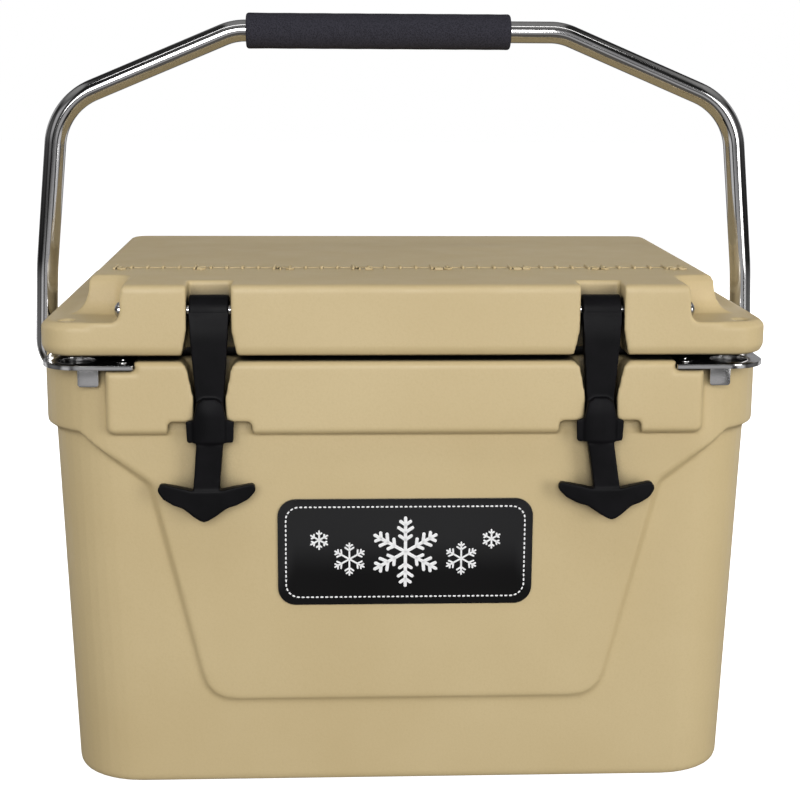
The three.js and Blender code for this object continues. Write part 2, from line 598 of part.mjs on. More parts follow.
function addPart(name, geometry, look) {
  const mesh = new THREE.Mesh(geometry, look());
  mesh.name = name;
  cooler.add(mesh);
}

addPart('tub_shell', tubShell(), TAN);
addPart('tub_foam', tubFoam(), FOAM_CORE);
addPart('tub_fill_plug', portPlug(0), TAN);
addPart('badge_plate', badgePlate(), LABEL);
addPart('drain_fitting', drainFitting(), NYLON);
addPart('drain_nut', drainNut(), NYLON);
addPart('drain_washer', drainWasher(), RUBBER);
addPart('drain_plug', drainPlug(), NYLON);
addPart('lid_shell', lidShell(), TAN);
addPart('lid_foam', lidFoam(), FOAM_CORE);
addPart('lid_fill_plug', portPlug(LID_PLUG.low), TAN);
addPart('lid_gasket', sealRing(0, SEAL.low, SEAL.high), RUBBER);
addPart('latch_left', latchBody(LATCH.left, LATCH.leftPull), RUBBER);
addPart('latch_right', latchBody(LATCH.right, LATCH.rightPull), RUBBER);
addPart('handle_tube', handleTube(), STEEL);
addPart('handle_grip', handleGrip(), GRIP_FOAM);

for (const [label, side] of [['left', -1], ['right', 1]]) {
  addPart(`latch_pin_${label}`, latchPin(side), STEEL);
  addPart(`handle_end_cap_${label}`, endCap(side), NYLON);
  addPart(`pivot_bush_${label}`, pivotBush(side), NYLON);
  addPart(`lock_plate_${label}`, lockPlate(side), STEEL);
  addPart(`hinge_pin_${label}`, hingePin(HINGE_SETS[side < 0 ? 0 : 1]), STEEL);
  PLATE_SCREWS.forEach(([x, y], i) =>
    addPart(`lock_plate_screw_${label}_${['front', 'back'][i]}`, plateScrew(x * side, y), STEEL));
}

export default cooler;
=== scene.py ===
"""The looks of a tan rotomoulded cooler chest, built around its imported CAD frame.

Blender 4.5. The frame is in metres, +X to the right, +Y to the back, +Z up, with its origin on the
underside. Drawn shapes are given in millimetres in that same frame and are scaled by MM.
"""
import json
import math

import bmesh
import bpy
from mathutils import Matrix, Vector
from mathutils.bvhtree import BVHTree


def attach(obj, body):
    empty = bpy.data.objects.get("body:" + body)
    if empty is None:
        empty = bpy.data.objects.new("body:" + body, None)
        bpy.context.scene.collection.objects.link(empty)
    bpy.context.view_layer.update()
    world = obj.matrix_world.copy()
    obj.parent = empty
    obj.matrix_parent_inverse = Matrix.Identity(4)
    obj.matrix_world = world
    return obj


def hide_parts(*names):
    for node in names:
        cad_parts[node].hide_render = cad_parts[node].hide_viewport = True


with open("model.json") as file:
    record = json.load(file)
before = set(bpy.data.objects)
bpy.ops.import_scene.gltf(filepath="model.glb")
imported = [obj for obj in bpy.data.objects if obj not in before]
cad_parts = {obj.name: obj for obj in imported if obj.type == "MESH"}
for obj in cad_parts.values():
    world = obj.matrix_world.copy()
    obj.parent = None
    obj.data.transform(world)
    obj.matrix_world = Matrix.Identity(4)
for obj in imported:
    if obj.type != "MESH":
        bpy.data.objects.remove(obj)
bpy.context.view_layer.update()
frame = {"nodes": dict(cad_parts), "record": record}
NODES = frame["nodes"]
MM = 0.001

# Which way each side's X runs.
SIDES = (("left", -1), ("right", 1))

# ------------------------------------------------------ driving sizes, in millimetres
# Each moulded body's voxel size, smoothing passes and most faces.
SHELLS = {"tub": (1.7, 2, 190000), "lid": (1.4, 3, 190000)}
# A face of a shell this close to the foam core lines the foam space.
LINING_GAP = 0.6

TUBE_RADIUS = 8.0
TUBE_BORE = 6.5
PIVOT_Z = 272.0
FOOT_X = 219.0
TOP_Z = 528.8
# Half of the bail's centreline: x, z and bend radius at each corner.
BAIL = [(268.7, PIVOT_Z, 25), (265.2, 352, 260), (253, 474, 48), (122, TOP_Z, 42)]
GRIP = {"low": -112.8, "high": 83.3, "radius": 13.1, "rings": 24, "dip": 0.12}
BUSH = {"bore": 8.5, "radius": 12, "inner": 221, "face": 238.3, "flange": 15, "outer": 240.3}

LABEL = {"half": 88.7, "low": 134.5, "high": 211.0, "radius": 12.5, "face": -151.5, "mid_z": 160.0,
         "lean": 0.86, "gap": 0.3, "thick": 1.2, "inset": 5.6}
STITCH = {"pitch": 3.3, "share": 0.33, "width": 1.1, "height": 0.16}
# Each snowflake's place from the label's middle, its size and its branches as (place, length) shares.
BIG_FLAKE = (0, 0, 24.5, ((0.36, 0.2), (0.58, 0.24), (0.8, 0.17)))
SIDE_FLAKES = ((39, -5, 11.5, ((0.55, 0.3), (0.78, 0.2))), (60, 9, 6.5, ((0.6, 0.3),)))

LID_TOP = 361.0
SCALE = {"from": -205.0, "to": 203.0, "y": -70.0, "ticks": 36, "numbered": 5, "short": 5.0, "long": 9.5}
# How wide and how high the scale's strokes are moulded.
SCALE_RELIEF = {"line": (1.7, 0.8), "ticks": (2.2, 1.9), "figures": (1.5, 1.6)}
# The scale's figures: their height, how far they sit in front of the line, and how far beside their
# tick with one digit and with two.
FIGURE = {"size": 9, "drop": 7.5, "beside": (5, 8)}

# Each latch's x and how far its hanging end slants sideways; the pin's y and z.
LATCHES = {"left": (-133.2, -5.0), "right": (131.9, 9.5)}
LATCH_AXIS = (-150.0, 342.5)
LATCH_PIN = {"inner": 103.5, "radius": 3.2, "seat": 192.3, "head": 5.4}
# A latch's moulded front, part by part: its heights, its half width and how far its edges fall back.
STRAP = {"slant_from": 254, "slant_run": 55, "front": -163.5, "depth": 5.5, "half": 9, "crown": 0.8}
EYE = {"low": 322, "high": 344, "run": 20, "sink": 3.0}
KEEPER = {"low": 253, "high": 287, "half": 11.2, "crown": 2.4, "wing": 3.4, "ease_from": 272,
          "ease": 12, "sink": 2.2}
PULL_TAB = {"high": 228, "half": 30, "crown": 2.6}

PLATE = {"low": 303.5, "high": 306.5, "front": -162.6, "inner": 184, "outer": 247.6, "back": -100,
         "eye": (224, -141, 13), "screws": ((192, -150), (238, -108)), "screw_hole": 2.7}
OPENER = {"inner": 208, "outer": 222, "low": 291, "high": 305, "front": -157, "back": -154.5}
SCREW = {"low": 291, "shank": 2.4, "head": 4.6, "socket": 1.1}

HINGE = {"x": 140, "axis": (165.0, 311.0), "half": 45, "radius": 3}

DRAIN_X, DRAIN_Z = 150.0, 62.0
OUTLET = {"bore": 9, "tube": 14, "flange": 19, "inner": 102, "flange_from": 148.4, "outer": 151.4}
NUT = {"radius": 17.4, "bore": 14.3, "low": 102.5, "high": 106.5}
WASHER = {"bore": 9.4, "radius": 15, "low": 151.7, "high": 153.7}
KNOB = {"radius": 14.5, "wave": 1.2, "lobes": 8, "low": 154, "high": 163}
GRASP = {"half": 11, "thick": 2.2, "low": 160, "high": 162.9}
THREAD = {"root": 8.1, "crest": 8.7, "tip": 108, "from": 109, "to": 153, "pitch": 4, "end": 155}

SEAL_LINE = {"half": 224.5, "front": -133.5, "back": 134.5, "radius": 36.5}
BULB = {"half": 3.5, "middle": 313.6, "drop": 4.2, "top": 315.5}
PORT = {"y": 60, "radius": 9.6, "thick": 4.8, "low": {"tub": 0, "lid": 290}}

# ---------------------------------------------------------- studio, in metres, watts and degrees
# Each lamp's name, place, size, power and whether it mirrors in the chest.
LAMPS = (
    ("key", (-0.25, -2.6, 1.1), (1.5, 1.0), 40, True),
    ("fill", (1.6, -2.0, 0.7), (0.9, 1.2), 18, True),
    ("overhead", (0.0, -0.9, 2.3), (2.6, 0.14), 4, True),
    ("side_left", (-2.2, 0.2, 0.9), (1.4, 1.4), 11, False),
    ("side_right", (2.2, 0.2, 0.9), (1.4, 1.4), 16, False),
    ("back", (0.2, 2.6, 1.2), (1.8, 1.4), 26, False),
)
AIM = (0, 0, 0.25)
CAMERA = {"place": (-0.0561, -1.2581, 0.5094), "yaw": 2.68, "pitch": 11.68, "roll": 0.33, "lens": 74.4}
# The light room's levels from straight down (0) to straight up (1), and what multiplies them from the
# front and back (0) to the sides (1).
BANDS = ((0.0, (0.22, 0.20, 0.17)), (0.3, (0.10, 0.095, 0.09)), (0.36, (0.50, 0.50, 0.51)),
         (0.44, (0.50, 0.50, 0.51)), (0.48, (0.03, 0.03, 0.03)), (0.56, (0.34, 0.34, 0.35)),
         (0.68, (0.34, 0.34, 0.35)), (0.74, (0.08, 0.08, 0.08)), (0.86, (0.22, 0.22, 0.22)),
         (1.0, (0.30, 0.30, 0.30)))
WALLS = ((0.0, (1.0, 1.0, 1.0)), (0.3, (1.0, 1.0, 1.0)), (0.38, (0.12, 0.12, 0.12)),
         (0.5, (0.12, 0.12, 0.12)), (0.58, (1.5, 1.5, 1.5)), (0.78, (1.5, 1.5, 1.5)),
         (0.88, (0.15, 0.15, 0.15)), (1.0, (0.4, 0.4, 0.4)))


# ---------------------------------------------------------------- mesh helpers
def new_object(name, shape):
    """Links a bmesh to the scene as an object, and frees the bmesh."""
    mesh = bpy.data.meshes.new(name)
    shape.to_mesh(mesh)
    shape.free()
    thing = bpy.data.objects.new(name, mesh)
    bpy.context.scene.collection.objects.link(thing)
    return thing


def object_from_bmesh(name, shape, angle=35):
    """Merges doubled points, turns the faces outwards and makes a smooth object of the bmesh."""
    bmesh.ops.remove_doubles(shape, verts=shape.verts, dist=1e-7)
    bmesh.ops.dissolve_degenerate(shape, edges=shape.edges, dist=1e-8)
    bmesh.ops.recalc_face_normals(shape, faces=shape.faces)
    return shade_smooth(new_object(name, shape), angle)


def object_from(name, points, faces, angle=35):
    """An object from points in millimetres and faces."""
    shape = bmesh.new()
    verts = [shape.verts.new(Vector(point) * MM) for point in points]
    for face in faces:
        shape.faces.new([verts[i] for i in face])
    return object_from_bmesh(name, shape, angle)


def modify(thing, kind, **settings):
    """Adds one modifier with its settings and applies it."""
    modifier = thing.modifiers.new(kind.lower(), kind)
    for key, value in settings.items():
        setattr(modifier, key, value)
    graph = bpy.context.evaluated_depsgraph_get()
    mesh = bpy.data.meshes.new_from_object(thing.evaluated_get(graph))
    thing.modifiers.clear()
    thing.data = mesh


def shade_smooth(thing, angle=None):
    """Smooth shading, kept sharp across edges steeper than the angle in degrees."""
    thing.data.shade_smooth()
    if angle is not None:
        thing.data.set_sharp_from_angle(angle=math.radians(angle))
    return thing


def soften(thing, voxel, passes, faces):
    """Rounds every edge of a closed solid: even voxels, smoothing, then fewer faces where it is flat."""
    modify(thing, "REMESH", mode="VOXEL", voxel_size=voxel, adaptivity=0.0)
    modify(thing, "SMOOTH", factor=0.5, iterations=passes)
    modify(thing, "TRIANGULATE")
    if len(thing.data.polygons) > faces:
        modify(thing, "DECIMATE", ratio=faces / len(thing.data.polygons))
    return shade_smooth(thing)


def joined(name, things):
    """One object from several, whose meshes stay as they are."""
    shape = bmesh.new()
    for thing in things:
        shape.from_mesh(thing.data)
        bpy.data.objects.remove(thing)
    return new_object(name, shape)


def cad_shape(node):
    """A bmesh copy of a CAD node's mesh, its doubled points merged."""
    shape = bmesh.new()
    shape.from_mesh(NODES[node].data)
    bmesh.ops.remove_doubles(shape, verts=shape.verts, dist=1e-6)
    return shape


def solid_skin(name, node, core):
    """A copy of a hollow CAD shell without the faces that line its foam space."""
    shape = cad_shape(node)
    foam = cad_shape(core)
    tree = BVHTree.FromBMesh(foam)
    lining = [f for f in shape.faces if tree.find_nearest(f.calc_center_median())[3] < LINING_GAP * MM]
    bmesh.ops.delete(shape, geom=lining, context="FACES")
    rim = [e for e in shape.edges if e.is_boundary]
    bmesh.ops.contextual_create(shape, geom=rim)
    bmesh.ops.triangulate(shape, faces=shape.faces)
    bmesh.ops.recalc_face_normals(shape, faces=shape.faces)
    foam.free()
    return new_object(name, shape)


def rounded(corners, steps=8, closed=True):
    """A flat outline through (x, y) or (x, y, radius) corners, each radius a true arc."""
    outline = []
    for i, corner in enumerate(corners):
        here = Vector(corner[:2])
        radius = corner[2] if len(corner) > 2 else 0
        at_end = not closed and i in (0, len(corners) - 1)
        if radius == 0 or at_end:
            outline.append(here)
            continue
        before = (Vector(corners[i - 1][:2]) - here).normalized()
        after = (Vector(corners[(i + 1) % len(corners)][:2]) - here).normalized()
        half = before.angle(after) / 2
        reach = radius / math.tan(half)
        middle = here + (before + after).normalized() * radius / math.sin(half)
        start = here + before * reach - middle
        end = here + after * reach - middle
        wide = start.angle(end)
        for step in range(steps + 1):
            share = step / steps
            outline.append(middle + (start * math.sin((1 - share) * wide)
                                     + end * math.sin(share * wide)) / math.sin(wide))
    return outline


def circle(x, y, radius, sides=48):
    """A round outline, used for holes."""
    angles = [2 * math.pi * i / sides for i in range(sides)]
    return [Vector((x + radius * math.cos(a), y + radius * math.sin(a))) for a in angles]


PLANES = {"xy": lambda u, v, w: (u, v, w), "xz": lambda u, v, w: (u, w, v)}


def slab(name, outline, low, high, plane="xy", holes=(), bevel=0.0, segments=3):
    """A flat plate: an outline with holes, given depth along the plane's third axis, its edges eased."""
    place = PLANES[plane]
    shape = bmesh.new()
    rims = ([], [])
    for loop in (outline, *holes):
        rings = []
        for rim, level in zip(rims, (low, high)):
            verts = [shape.verts.new(Vector(place(u, v, level)) * MM) for u, v in loop]
            rim.extend(shape.edges.new(pair) for pair in zip(verts, verts[1:] + verts[:1]))
            rings.append(verts)
        near, far = rings
        for i in range(len(loop)):
            after = (i + 1) % len(loop)
            shape.faces.new((near[i], near[after], far[after], far[i]))
    for rim in rims:
        bmesh.ops.triangle_fill(shape, edges=rim, use_beauty=True)
    thing = object_from_bmesh(name, shape)
    if bevel:
        modify(thing, "BEVEL", width=bevel * MM, segments=segments, limit_method="ANGLE",
               angle_limit=math.radians(50))
        shade_smooth(thing, 40)
    return thing


TURNS = {"x": Matrix.Rotation(math.pi / 2, 3, "Y"), "y": Matrix.Rotation(-math.pi / 2, 3, "X"),
         "z": Matrix.Identity(3)}


def turned(name, profile, axis, at, sides=64, closed=False):
    """A turned solid from (radius, distance, rounding) corners that starts and ends on the axis or closes."""
    curve = [tuple(p) for p in rounded(profile, 4, closed)]
    if closed:
        curve.append(curve[0])
    points = []
    for radius, height in curve:
        for step in range(sides):
            angle = 2 * math.pi * step / sides
            points.append(TURNS[axis] @ Vector((radius * math.cos(angle), radius * math.sin(angle), height))
                          + Vector(at))
    faces = []
    for level in range(len(curve) - 1):
        for step in range(sides):
            here, after = level * sides + step, level * sides + (step + 1) % sides
            faces.append((here, after, after + sides, here + sides))
    return object_from(name, points, faces)


def mirrored(profile, side):
    """A turned profile with its distances along the axis mirrored to the other side."""
    return [(corner[0], corner[1] * side, *corner[2:]) for corner in profile]


def swept(name, path, section, across, closed=False):
    """Carries a closed section of (out, across) points along a flat path. across is the plane's normal."""
    across = Vector(across)
    count, size = len(path), len(section)
    points = []
    for i, here in enumerate(path):
        before = path[i - 1] if closed or i else here
        after = path[(i + 1) % count] if closed or i < count - 1 else here
        out = (after - before).cross(across).normalized()
        points += [here + out * u + across * v for u, v in section]
    faces = []
    for i in range(count if closed else count - 1):
        for j in range(size):
            here, beside = i * size, (i + 1) % count * size
            faces.append((here + j, here + (j + 1) % size, beside + (j + 1) % size, beside + j))
    return object_from(name, points, faces, 50)


# A raised stroke's section: the share of its width at each share of its height.
PILLOW = ((1.0, -0.3), (1.0, 0.45), (0.82, 0.8), (0.5, 0.97))


def strokes(name, bars, width, height, place, sides=10):
    """Low pillow-shaped bars with round ends, each from (u, v) to (u, v), set on a surface by place."""
    shape = bmesh.new()
    angles = [math.pi * i / sides for i in range(sides + 1)]
    for start, end in bars:
        start, end = Vector(start), Vector(end)
        along = (end - start).normalized()
        beside = Vector((-along.y, along.x))
        rim = [start + (beside * math.cos(a) - along * math.sin(a)) * width / 2 for a in angles]
        rim += [end - (beside * math.cos(a) - along * math.sin(a)) * width / 2 for a in angles]
        rings = []
        for share, level in PILLOW:
            ring = []
            for i, point in enumerate(rim):
                core = start if i <= sides else end
                u, v = core + (point - core) * share
                ring.append(shape.verts.new(Vector(place(u, v, level * height)) * MM))
            rings.append(ring)
        for lower, upper in zip(rings, rings[1:]):
            for i in range(len(rim)):
                after = (i + 1) % len(rim)
                shape.faces.new((lower[i], lower[after], upper[after], upper[i]))
        shape.faces.new(rings[-1])
        shape.faces.new(rings[0])
    return object_from_bmesh(name, shape, 60)


def dress(thing, body, slot, material, *nodes):
    """Gives a piece its body and its material, and hides the CAD nodes that it stands for. The slot is not
    used.
    """
    thing.data.materials.clear()
    thing.data.materials.append(material)
    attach(thing, body)
    if nodes:
        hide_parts(*nodes)
    return thing


# ------------------------------------------------------------------ materials
def colour_ramp(tree, value, stops):
    """A colour ramp node driven by a value, through (position, colour) stops."""
    node = tree.nodes.new("ShaderNodeValToRGB")
    elements = node.color_ramp.elements
    while len(elements) < len(stops):
        elements.new(0.5)
    for element, (position, colour) in zip(elements, stops):
        element.position = position
        element.color = (*colour, 1)
    tree.links.new(value, node.inputs["Fac"])
    return node.outputs["Color"]


class Look:
    """A small wrapper that adds nodes to one material."""

    def __init__(self, name, **sockets):
        self.material = bpy.data.materials.new(name)
        self.material.use_nodes = True
        self.tree = self.material.node_tree
        self.shader = self.tree.nodes["Principled BSDF"]
        for socket, value in sockets.items():
            self.shader.inputs[socket.replace("_", " ")].default_value = value
        self.place = self.tree.nodes.new("ShaderNodeTexCoord").outputs["Object"]

    def link(self, source, target):
        """Joins one node's output to another's input."""
        self.tree.links.new(source, target)

    def noise(self, scale, detail=3.0, roughness=0.5, stretch=(1, 1, 1)):
        """Noise in the part's own coordinates; scale is in cells per metre."""
        mapping = self.tree.nodes.new("ShaderNodeMapping")
        mapping.inputs["Scale"].default_value = stretch
        self.link(self.place, mapping.inputs["Vector"])
        node = self.tree.nodes.new("ShaderNodeTexNoise")
        node.inputs["Scale"].default_value = scale
        node.inputs["Detail"].default_value = detail
        node.inputs["Roughness"].default_value = roughness
        self.link(mapping.outputs["Vector"], node.inputs["Vector"])
        return node.outputs["Fac"]

    def cells(self, scale):
        """Round cells, such as the pores of foam."""
        node = self.tree.nodes.new("ShaderNodeTexVoronoi")
        node.inputs["Scale"].default_value = scale
        self.link(self.place, node.inputs["Vector"])
        return node.outputs["Distance"]

    def ramp(self, value, *stops):
        """A colour ramp from (position, colour) stops."""
        return colour_ramp(self.tree, value, stops)

    def span(self, value, low, high, start=0.3, end=0.7):
        """Maps a value between start and end to low and high."""
        node = self.tree.nodes.new("ShaderNodeMapRange")
        node.inputs["From Min"].default_value = start
        node.inputs["From Max"].default_value = end
        node.inputs["To Min"].default_value = low
        node.inputs["To Max"].default_value = high
        self.link(value, node.inputs["Value"])
        return node.outputs["Result"]

    def mix(self, factor, first, colour):
        """Mixes a plain colour over another colour by a factor."""
        node = self.tree.nodes.new("ShaderNodeMix")
        node.data_type = "RGBA"
        self.link(factor, node.inputs[0])
        self.link(first, node.inputs[6])
        node.inputs[7].default_value = (*colour, 1)
        return node.outputs[2]

    def shade(self, colour, reach, shut=0.18, clear=0.62):
        """Paints shade into a colour where walls within reach close it in, from ambient occlusion: to black
        at shut, not at all from clear.
        """
        node = self.tree.nodes.new("ShaderNodeAmbientOcclusion")
        node.samples = 8
        node.inputs["Distance"].default_value = reach
        return self.mix(self.span(node.outputs["AO"], 1.0, 0.0, shut, clear), colour, (0.0, 0.0, 0.0))

    def bump(self, height, distance, strength=1.0, after=None):
        """A bump of that depth in metres, laid over an earlier bump."""
        node = self.tree.nodes.new("ShaderNodeBump")
        node.inputs["Strength"].default_value = strength
        node.inputs["Distance"].default_value = distance
        self.link(height, node.inputs["Height"])
        if after is not None:
            self.link(after, node.inputs["Normal"])
        return node.outputs["Normal"]

    def finish(self, colour=None, roughness=None, normal=None):
        """Links what was made to the shader, and gives the finished material."""
        for value, socket in ((colour, "Base Color"), (roughness, "Roughness"), (normal, "Normal")):
            if value is not None:
                self.link(value, self.shader.inputs[socket])
        return self.material


def srgb(red, green, blue):
    """An 8-bit sRGB colour as linear values."""
    return tuple(((v / 255 + 0.055) / 1.055) ** 2.4 for v in (red, green, blue))


def tan_plastic():
    """Rotomoulded polyethylene: satin, with a fine orange peel, faint cloudy colour and painted shade in its
    creases and slots.
    """
    look = Look("tan_polyethylene", Specular_IOR_Level=0.5)
    cloud = look.noise(7, 4)
    fleck = look.noise(650, 2)
    base = look.ramp(cloud, (0.3, srgb(199, 178, 133)), (0.7, srgb(206, 186, 142)))
    colour = look.mix(look.span(fleck, 0.0, 0.16, 0.45, 0.75), base, srgb(186, 164, 118))
    roughness = look.span(look.noise(35, 3), 0.42, 0.54)
    peel = look.bump(look.noise(420, 2, 0.55), 0.00018, 0.5)
    pits = look.bump(look.noise(1500, 2), 0.00008, 0.4, peel)
    # painted shade: the colour darkens to black in creases, slots and under ledges, within 26 mm
    return look.finish(look.shade(colour, 0.026), roughness, pits)


def polished_steel(name, roughness, scratches):
    """Stainless steel with faint drawn scratches."""
    look = Look(name, Metallic=1.0)
    drawn = look.noise(80, 4, 0.6, scratches)
    colour = look.ramp(drawn, (0.35, (0.50, 0.495, 0.49)), (0.65, (0.66, 0.65, 0.645)))
    rough = look.span(look.noise(40, 3), roughness * 0.7, roughness * 1.5)
    return look.finish(colour, rough, look.bump(drawn, 0.00002, 0.2))


def black_rubber():
    """Moulded rubber with a satin skin and a dusty bloom."""
    look = Look("latch_rubber", Specular_IOR_Level=0.1)
    bloom = look.noise(60, 5)
    colour = look.ramp(bloom, (0.35, srgb(9, 9, 11)), (0.7, srgb(15, 14, 17)))
    return look.finish(colour, look.span(bloom, 0.42, 0.56), look.bump(look.noise(900, 2), 0.00006, 0.5))


def seal_rubber():
    """The gasket's extruded rubber: blacker and smoother than the latches."""
    look = Look("seal_rubber", Specular_IOR_Level=0.3)
    drag = look.noise(120, 3)
    colour = look.ramp(drag, (0.3, srgb(16, 16, 17)), (0.7, srgb(24, 24, 25)))
    return look.finish(colour, look.span(drag, 0.45, 0.6), look.bump(look.noise(1400, 2), 0.00004, 0.4))


def foam_rubber():
    """Closed-cell foam sleeve: fine pores and no shine."""
    look = Look("grip_foam_rubber", Specular_IOR_Level=0.2, Roughness=0.95)
    pores = look.cells(1100)
    lumps = look.noise(300, 4)
    colour = look.ramp(pores, (0.05, srgb(27, 27, 32)), (0.6, srgb(54, 53, 61)))
    return look.finish(colour, None, look.bump(pores, 0.00035, 0.8, look.bump(lumps, 0.0005, 0.5)))


def moulded_nylon():
    """Black nylon fittings with a fine spark-eroded texture."""
    look = Look("black_nylon")
    grain = look.noise(1200, 3)
    colour = look.ramp(look.noise(50, 3), (0.3, srgb(24, 24, 25)), (0.7, srgb(33, 33, 35)))
    return look.finish(colour, look.span(grain, 0.38, 0.52), look.bump(grain, 0.00006, 0.5))


def gloss_label():
    """A glossy domed label, almost black, with the faintest waviness."""
    look = Look("label_gloss", Roughness=0.1, Specular_IOR_Level=0.45)
    colour = look.ramp(look.noise(9, 3), (0.3, srgb(14, 14, 15)), (0.7, srgb(20, 20, 21)))
    return look.finish(colour, None, look.bump(look.noise(45, 2), 0.0003, 0.1))


def white_print():
    """White printed ink with a little texture."""
    look = Look("label_print", Roughness=0.35)
    colour = look.ramp(look.noise(400, 3), (0.3, srgb(240, 240, 240)), (0.7, srgb(250, 250, 250)))
    return look.finish(colour, None, look.bump(look.noise(900, 2), 0.00003, 0.3))


def core_foam():
    """Pale poured foam, hidden inside the shells."""
    look = Look("core_foam", Roughness=0.9)
    pores = look.cells(700)
    colour = look.ramp(pores, (0.1, srgb(214, 198, 146)), (0.6, srgb(236, 224, 178)))
    return look.finish(colour, None, look.bump(pores, 0.0004, 0.6))


TAN = tan_plastic()
TUBE_STEEL = polished_steel("stainless_tube", 0.07, (6, 60, 60))
PLATE_STEEL = polished_steel("stainless_plate", 0.14, (30, 30, 30))
RUBBER = black_rubber()
SEAL = seal_rubber()
FOAM = foam_rubber()
NYLON = moulded_nylon()
LABEL_GLOSS = gloss_label()
PRINT = white_print()
CORE = core_foam()

# CAD nodes that stay as they are take these finishes.
LOOKS = {"tan_shell": TAN, "core_foam": CORE, "label": LABEL_GLOSS, "black_plastic": NYLON,
         "black_rubber": RUBBER, "seal_rubber": SEAL, "stainless": PLATE_STEEL, "grip_foam": FOAM}
for part in frame["record"]["subparts"]:
    node_mesh = NODES[part["node"]].data
    node_mesh.materials.clear()
    node_mesh.materials.append(LOOKS[part["material_slot"]])


# ---------------------------------------------------------------- tub and lid
def make_shells():
    """The two moulded bodies: the CAD shells with their edges rounded."""
    for body, (voxel, passes, faces) in SHELLS.items():
        skin = solid_skin(f"{body}_body", f"{body}_shell", f"{body}_foam")
        dress(soften(skin, voxel * MM, passes, faces), body, "tan_shell", TAN, f"{body}_shell")


# Each digit's strokes on a grid 2 wide and 4 high.
DIGITS = {
    "0": [(0, 1), (0, 3), (1, 4), (2, 3), (2, 1), (1, 0), (0, 1)],
    "1": [(0, 3), (1, 4), (1, 0)],
    "2": [(0, 3), (1, 4), (2, 3), (0, 0), (2, 0)],
    "3": [(0, 4), (2, 4), (1, 2.4), (2, 1.2), (1, 0), (0, 0.6)],
    "5": [(2, 4), (0, 4), (0, 2.4), (1.4, 2.4), (2, 1.2), (1.2, 0), (0, 0.3)],
}


def on_lid(x, y, out):
    """A point on the lid's top, out millimetres above it."""
    return (x, y, LID_TOP + out)


def digit_bars(text, u, v, size):
    """The strokes of a number centred at (u, v), its digits size high."""
    unit = size / 4
    start = u - (len(text) * 3 - 1) * unit / 2
    bars = []
    for i, digit in enumerate(text):
        line = [(start + (i * 3 + x) * unit, v + (y - 2) * unit) for x, y in DIGITS[digit]]
        bars += list(zip(line, line[1:]))
    return bars


def make_scale():
    """The moulded measuring scale along the front of the lid: a line, ticks and plain numbers."""
    low, high, y, count = (SCALE[key] for key in ("from", "to", "y", "ticks"))
    pitch = (high - low) / count
    ticks = []
    for tick in range(count + 1):
        x = low + tick * pitch
        reach = SCALE["short"] if tick % SCALE["numbered"] else SCALE["long"]
        ticks.append(((x, y - reach), (x, y + reach)))
    figures = []
    for tick in range(0, count, SCALE["numbered"]):
        text = str(tick)
        x = low + tick * pitch + FIGURE["beside"][len(text) - 1]
        figures += digit_bars(text, x, y - FIGURE["drop"], FIGURE["size"])
    scale = joined("lid_scale", [
        strokes("scale_line", [((low, y), (high, y))], *SCALE_RELIEF["line"], on_lid),
        strokes("scale_ticks", ticks, *SCALE_RELIEF["ticks"], on_lid),
        strokes("scale_figures", figures, *SCALE_RELIEF["figures"], on_lid),
    ])
    dress(shade_smooth(scale, 60), "lid", "tan_shell", TAN)


# ---------------------------------------------------------------------- label
def on_label(x, z, out):
    """A point on the label's face, out millimetres in front of it."""
    lean = math.radians(LABEL["lean"])
    depth = -(LABEL["gap"] + LABEL["thick"]) - out
    height = z - LABEL["mid_z"]
    return (x, LABEL["face"] + depth * math.cos(lean) - height * math.sin(lean),
            LABEL["mid_z"] + depth * math.sin(lean) + height * math.cos(lean))


def label_outline(inset):
    """The label's rounded outline, or a line that runs inset millimetres inside it."""
    half, low, high, radius = (LABEL[key] for key in ("half", "low", "high", "radius"))
    half, low, high, radius = half - inset, low + inset, high - inset, radius - inset * 0.55
    corners = ((half, low), (half, high), (-half, high), (-half, low))
    return rounded([(*corner, radius) for corner in corners], 10)


def flake(u, v, size, branches):
    """A six-armed snowflake: straight arms with paired branches."""
    bars = []
    centre = Vector((u, v))
    for arm in range(6):
        angle = math.radians(90 + 60 * arm)
        tip = Vector((math.cos(angle), math.sin(angle)))
        bars.append((centre, centre + tip * size))
        for reach, length in branches:
            root = centre + tip * size * reach
            for side in (-1, 1):
                turn = angle + side * math.radians(55)
                bars.append((root, root + Vector((math.cos(turn), math.sin(turn))) * size * length))
    return bars


def stitches():
    """The dashes of the label's border, spaced evenly along its line."""
    outline = label_outline(LABEL["inset"])
    lengths = [(b - a).length for a, b in zip(outline, outline[1:] + outline[:1])]
    total = sum(lengths)
    count = round(total / STITCH["pitch"])
    dashes = []
    for i in range(count):
        ends = []
        for share in (i, i + STITCH["share"]):
            left = share * total / count
            for k, length in enumerate(lengths):
                if left <= length:
                    ends.append(outline[k].lerp(outline[(k + 1) % len(outline)], left / length))
                    break
                left -= length
        dashes.append(tuple(ends))
    return dashes


